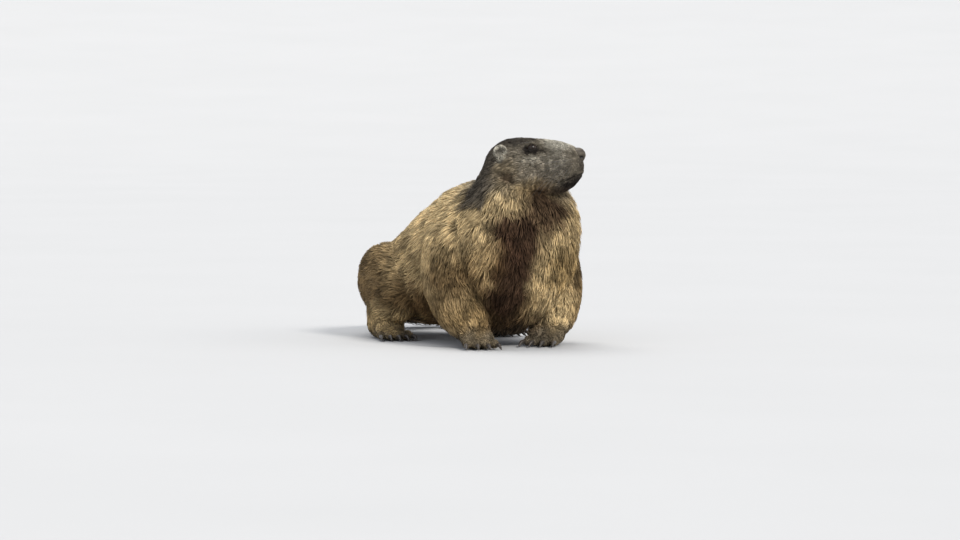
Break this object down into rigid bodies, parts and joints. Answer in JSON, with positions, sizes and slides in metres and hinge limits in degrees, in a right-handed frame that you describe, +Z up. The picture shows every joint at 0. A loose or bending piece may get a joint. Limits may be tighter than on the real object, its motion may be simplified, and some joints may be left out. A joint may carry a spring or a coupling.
{
  "type": "alpine marmot",
  "caption": "Life-size alpine marmot standing low on all fours, chest high, head raised and turned to its left, tail curled on the floor.",
  "frame": {"origin": "on the floor, under the middle of the whole object's box", "axes": "+Z up; the animal faces -Y, its left side is +X"},
  "size_m": [0.2382, 0.399, 0.2214],
  "materials": {
    "coat": "dense fur, ochre to rufous brown with dark tips",
    "face": "short grizzled grey fur, darker on the crown",
    "tail": "long dark brown fur",
    "paw": "short grey-brown fur",
    "claw": "dark horn, half gloss",
    "nose": "bare dark skin, slightly moist",
    "eye": "wet, very dark"
  },
  "bodies": {
    "root": {"torso": "coat", "neck": "coat", "head": "face", "tail_root": "tail", "tail_middle": "tail", "tail_tip": "tail", "nose": "nose", "eye_left": "eye", "ear_left": "face", "eye_right": "eye", "ear_right": "face", "foreleg_left": "coat", "hindleg_left": "coat", "foreleg_right": "coat", "hindleg_right": "coat", "forepaw_left": "paw", "foreclaw_left_1": "claw", "foreclaw_left_2": "claw", "foreclaw_left_3": "claw", "foreclaw_left_4": "claw", "hindpaw_left": "paw", "hindclaw_left_1": "claw", "hindclaw_left_2": "claw", "hindclaw_left_3": "claw", "hindclaw_left_4": "claw", "hindclaw_left_5": "claw", "forepaw_right": "paw", "foreclaw_right_1": "claw", "foreclaw_right_2": "claw", "foreclaw_right_3": "claw", "foreclaw_right_4": "claw", "hindpaw_right": "paw", "hindclaw_right_1": "claw", "hindclaw_right_2": "claw", "hindclaw_right_3": "claw", "hindclaw_right_4": "claw", "hindclaw_right_5": "claw"}
  },
  "joints": []
}
